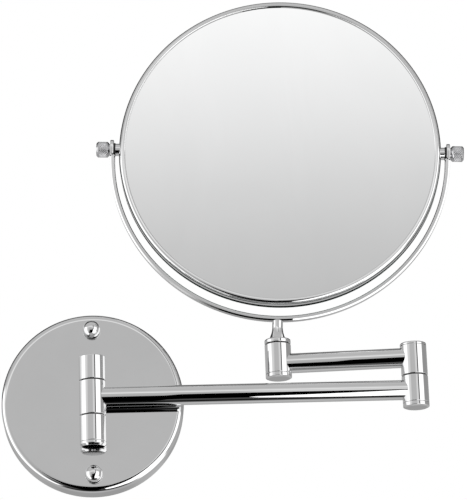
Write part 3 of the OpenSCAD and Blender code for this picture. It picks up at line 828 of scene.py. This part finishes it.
def build():
    wall_plate()
    dome_nuts()
    knuckle("knuckle_upper", "upper_knuckle", UPPER_FOOT_RISE)
    knuckle("knuckle_lower", "lower_knuckle", LOWER_FOOT_RISE)
    cap("wall_cap_low", "wall_post_cap", "wall_mount", WALL_POST, CAP_CHAMFER)
    hub("hub_wall", "wall_hub", "long_arm", WALL_POST)
    arm("long_tube_coped", "long_tube", "long_arm", WALL_POST, ELBOW)
    hub("hub_elbow_low", "elbow_lower_hub", "long_arm", ELBOW)
    cap("elbow_cap_low", "elbow_bottom_cap", "long_arm", ELBOW)
    hub("hub_elbow_high", "elbow_upper_hub", "short_arm", ELBOW)
    elbow_top_cap()
    arm("short_tube_coped", "short_tube", "short_arm", ELBOW, SWIVEL)
    hub("hub_swivel", "swivel_hub", "short_arm", SWIVEL)
    cap("swivel_cap_low", "swivel_bottom_cap", "short_arm", SWIVEL)
    swivel_cap()
    flared_stem()
    yoke()
    frame_band()
    rear_bezel()
    glass("glass_plain", "front_glass", True, False)
    glass("glass_magnifying", "rear_glass", False, True)
    tilt_parts()
    knob("knob_left_knurled", "left_knob", "knob_left", -1)
    knob("knob_right_knurled", "right_knob", "knob_right", 1)


build()

CAD_FINISHES = {
    ZINC: ["fixing_bar", "plate_studs", "knuckle_screws", "wall_bolt", "elbow_bolt", "elbow_lock_nut",
           "swivel_spindle", "swivel_lock_nut"],
    SPRING: ["elbow_wave_washer", "swivel_wave_washer"],
    NYLON: ["wall_bushes", "elbow_bushes", "swivel_bushes"],
    FOAM: ["glass_spacer"],
}
for finish, names in CAD_FINISHES.items():
    for node_name in names:
        data = frame["nodes"][node_name].data
        data.materials.clear()
        data.materials.append(finish)


# ---- studio ----

CAMERA_TURN, CAMERA_LIFT, CAMERA_ROLL = -2.95, 17.18, 1.98    # degrees
CAMERA_LENS, CAMERA_SENSOR = 173.8, 36                        # millimetres
CAMERA_DISTANCE = 1.55838
AIM = Vector((0.0921, 0, 0.10295))
FLOOR_Z = -0.75
FLOOR_REACH = 14


class World(Maker):
    """The studio around the object, as light from each direction."""

    def __init__(self):
        world = bpy.data.worlds.new("studio")
        bpy.context.scene.world = world
        world.use_nodes = True
        self.tree = world.node_tree
        self.tree.nodes.clear()
        coords = self.add("ShaderNodeTexCoord")
        split = self.add("ShaderNodeSeparateXYZ")
        self.link(coords.outputs["Generated"], split.inputs[0])
        x, y, z = split.outputs
        front = self.sum(y, -1.0, "MULTIPLY")
        self.side = self.degrees(self.sum(x, front, "ARCTAN2"))      # 0 in front, 90 to the right
        self.over = self.degrees(self.sum(z, front, "ARCTAN2"))      # 0 in front, 90 overhead, 180 behind
        lift = self.add("ShaderNodeMath", operation="ARCSINE")
        self.link(z, lift.inputs[0])
        self.lift = self.degrees(lift.outputs[0])                    # height over the horizon

    def degrees(self, value):
        return self.sum(value, 180 / math.pi, "MULTIPLY")

    def step(self, value, at, soft):
        node = self.add("ShaderNodeMapRange", interpolation_type="SMOOTHSTEP")
        node.inputs["From Min"].default_value = at - soft
        node.inputs["From Max"].default_value = at + soft
        self.link(value, node.inputs["Value"])
        return node.outputs["Result"]

    def between(self, value, low, high, soft):
        return self.sum(self.step(value, low, soft), self.step(value, high, soft), "SUBTRACT")

    def mask(self, side, lift, soft):
        across, up = self.between(self.side, *side, soft), self.between(self.lift, *lift, soft)
        return self.sum(across, up, "MULTIPLY")

    def over_with(self, below, mask, level):
        node = self.add("ShaderNodeMix", data_type="FLOAT")
        self.link(mask, node.inputs[0])
        self.link(below, node.inputs[2])
        node.inputs[3].default_value = level
        return node.outputs[0]


def studio_world():
    """The light that the chrome and the glass reflect. The camera sees plain white behind the object."""
    w = World()
    turn = w.add("ShaderNodeMapRange")
    turn.inputs["From Min"].default_value = -180
    turn.inputs["From Max"].default_value = 180
    w.link(w.over, turn.inputs["Value"])
    # light by direction: 0 in front, 90 overhead, 180 behind, -90 below
    arch = [(-180, 0.36), (-165, 0.38), (-150, 0.49), (-130, 0.53), (-119, 0.66), (-112, 0.58),
            (-104, 0.34), (-97, 0.12), (-92, 0.0), (-82, 0.01), (-75, 0.04), (-68, 0.11), (-56, 0.07),
            (-48, 0.08), (-20, 0.5), (4, 0.55), (10, 0.59), (15.5, 0.59), (17.2, 0.575), (19.4, 0.73),
            (21.9, 0.96), (24, 1.1), (30, 0.8), (48, 0.57), (73, 0.62), (94, 0.6), (101, 0.16),
            (116, 0.07), (127, 0.25), (150, 0.33), (176, 0.36)]
    dome = w.ramp(turn.outputs["Result"], [((a + 180) / 360, (v, v, v)) for a, v in arch])
    light = w.add("ShaderNodeRGBToBW")
    w.link(dome, light.inputs[0])
    level = light.outputs[0]
    # patches of other light: from and to sideways, from and to in height, softness of the edge, light
    for side, lift, soft, shine in (
            ((76, 176), (4, 60), 3, 0.36),
            ((76, 170), (-60, 4), 3, 0.5),
            ((-168, -104), (-60, 60), 4, 0.5),
            ((72, 112), (-54, -26), 3, 1.4),
            ((118, 165), (16.2, 62), 1, 0.02),
            ((-165, -118), (16.2, 62), 1, 0.02),
            ((-104, -61), (-62, 23), 4, 1.5),
            ((-61, -44), (-40, 26), 7, 0.82),
            ((3.2, 20), (-2, 16.6), 1, 0.82),
            ((20.5, 28.5), (-2, 42), 1, 0.05),
            ((29.5, 72), (-62, 19), 1, 1.5)):
        level = w.over_with(level, w.mask(side, lift, soft), shine)
    seen = w.add("ShaderNodeLightPath")
    shown = w.add("ShaderNodeMix", data_type="FLOAT")
    w.link(seen.outputs["Is Camera Ray"], shown.inputs[0])
    w.link(level, shown.inputs[2])
    shown.inputs[3].default_value = 1.0
    background = w.add("ShaderNodeBackground")
    w.link(shown.outputs[0], background.inputs["Color"])
    out = w.add("ShaderNodeOutputWorld")
    w.link(background.outputs[0], out.inputs["Surface"])


def card(name, y, corners, level):
    """An upright studio card that only shows in reflections: a black flag or a white reflector."""
    mesh = bpy.data.meshes.new(name)
    mesh.from_pydata([(x, y, z) for x, z in corners], [], [range(len(corners))])
    piece = bpy.data.objects.new(name, mesh)
    bpy.context.scene.collection.objects.link(piece)
    m = Maker(name)
    m.set(Base_Color=(0, 0, 0, 1), Roughness=1.0, Specular_IOR_Level=0.0,
          Emission_Color=(1, 1, 1, 1), Emission_Strength=level)
    mesh.materials.append(m.material)
    piece.visible_camera = False
    piece.visible_diffuse = False
    piece.visible_shadow = False


def floor():
    """A wide pale floor well under the wall-hung object."""
    bm = bmesh.new()
    bmesh.ops.create_grid(bm, x_segments=8, y_segments=8, size=FLOOR_REACH)
    mesh = bpy.data.meshes.new("floor")
    bm.to_mesh(mesh)
    bm.free()
    mesh.transform(Matrix.Translation((0, 0, FLOOR_Z)))
    piece = bpy.data.objects.new("floor", mesh)
    bpy.context.scene.collection.objects.link(piece)
    m = Maker("floor_paint")
    speck = m.noise(m.place(), 3, 4)
    m.link(m.ramp(speck, [(0.3, (0.86, 0.86, 0.86)), (0.7, (0.9, 0.9, 0.9))]), m.shader.inputs["Base Color"])
    m.link(m.spread(speck, 0.6, 0.8), m.shader.inputs["Roughness"])
    mesh.materials.append(m.material)
    piece.visible_glossy = False


def soft_light():
    """A large overhead softbox, for the floor's soft shade and the plastics."""
    light = bpy.data.lights.new("overhead_softbox", "AREA")
    light.shape = "RECTANGLE"
    light.size, light.size_y = 2.4, 1.8
    light.energy = 45
    lamp = bpy.data.objects.new("overhead_softbox", light)
    lamp.location = (0.3, -1.0, 2.4)
    lamp.rotation_euler = (Vector((0.1, 0, 0)) - lamp.location).to_track_quat("-Z", "Y").to_euler()
    lamp.visible_glossy = False
    lamp.visible_camera = False
    bpy.context.scene.collection.objects.link(lamp)


def camera():
    """Looks up at the mirror from a little below it, with a slight turn and roll."""
    azimuth, lift, roll = (math.radians(a) for a in (CAMERA_TURN, CAMERA_LIFT, CAMERA_ROLL))
    look = Vector((-math.sin(azimuth) * math.cos(lift), math.cos(azimuth) * math.cos(lift), math.sin(lift)))
    right = Vector((math.cos(azimuth), math.sin(azimuth), 0))
    up = right.cross(look)
    rolled_right = right * math.cos(roll) - up * math.sin(roll)
    rolled_up = right * math.sin(roll) + up * math.cos(roll)
    data = bpy.data.cameras.new("camera")
    data.sensor_width = CAMERA_SENSOR
    data.lens = CAMERA_LENS
    cam = bpy.data.objects.new("camera", data)
    cam.matrix_world = axes_matrix(AIM - look * CAMERA_DISTANCE, rolled_right, rolled_up, -look)
    bpy.context.scene.collection.objects.link(cam)
    bpy.context.scene.camera = cam


studio_world()
card("black_flag", -0.79, [(-0.35, -1.25), (0.45, -1.25), (0.45, -0.03), (0.12, -0.03), (0.075, -0.05),
                           (0.06, -0.2), (-0.35, -0.2)], 0.0)
card("near_flag", -0.35, [(-0.2, -1.6), (0.06, -1.6), (0.06, -0.6), (0.085, -0.4), (0.128, -0.2),
                          (0.128, -0.115), (-0.1, -0.115), (-0.1, -0.22), (-0.2, -0.35)], 0.0)
card("white_reflector", -0.78, [(0.165, -1.0), (0.2, -1.44), (0.42, -2.6), (1.3, -2.6), (1.3, -0.15),
                                (0.285, -0.15), (0.24, -0.41), (0.2, -0.63), (0.165, -0.85)], 1.6)
floor()
soft_light()
camera()

bpy.context.scene.view_settings.view_transform = "Standard"
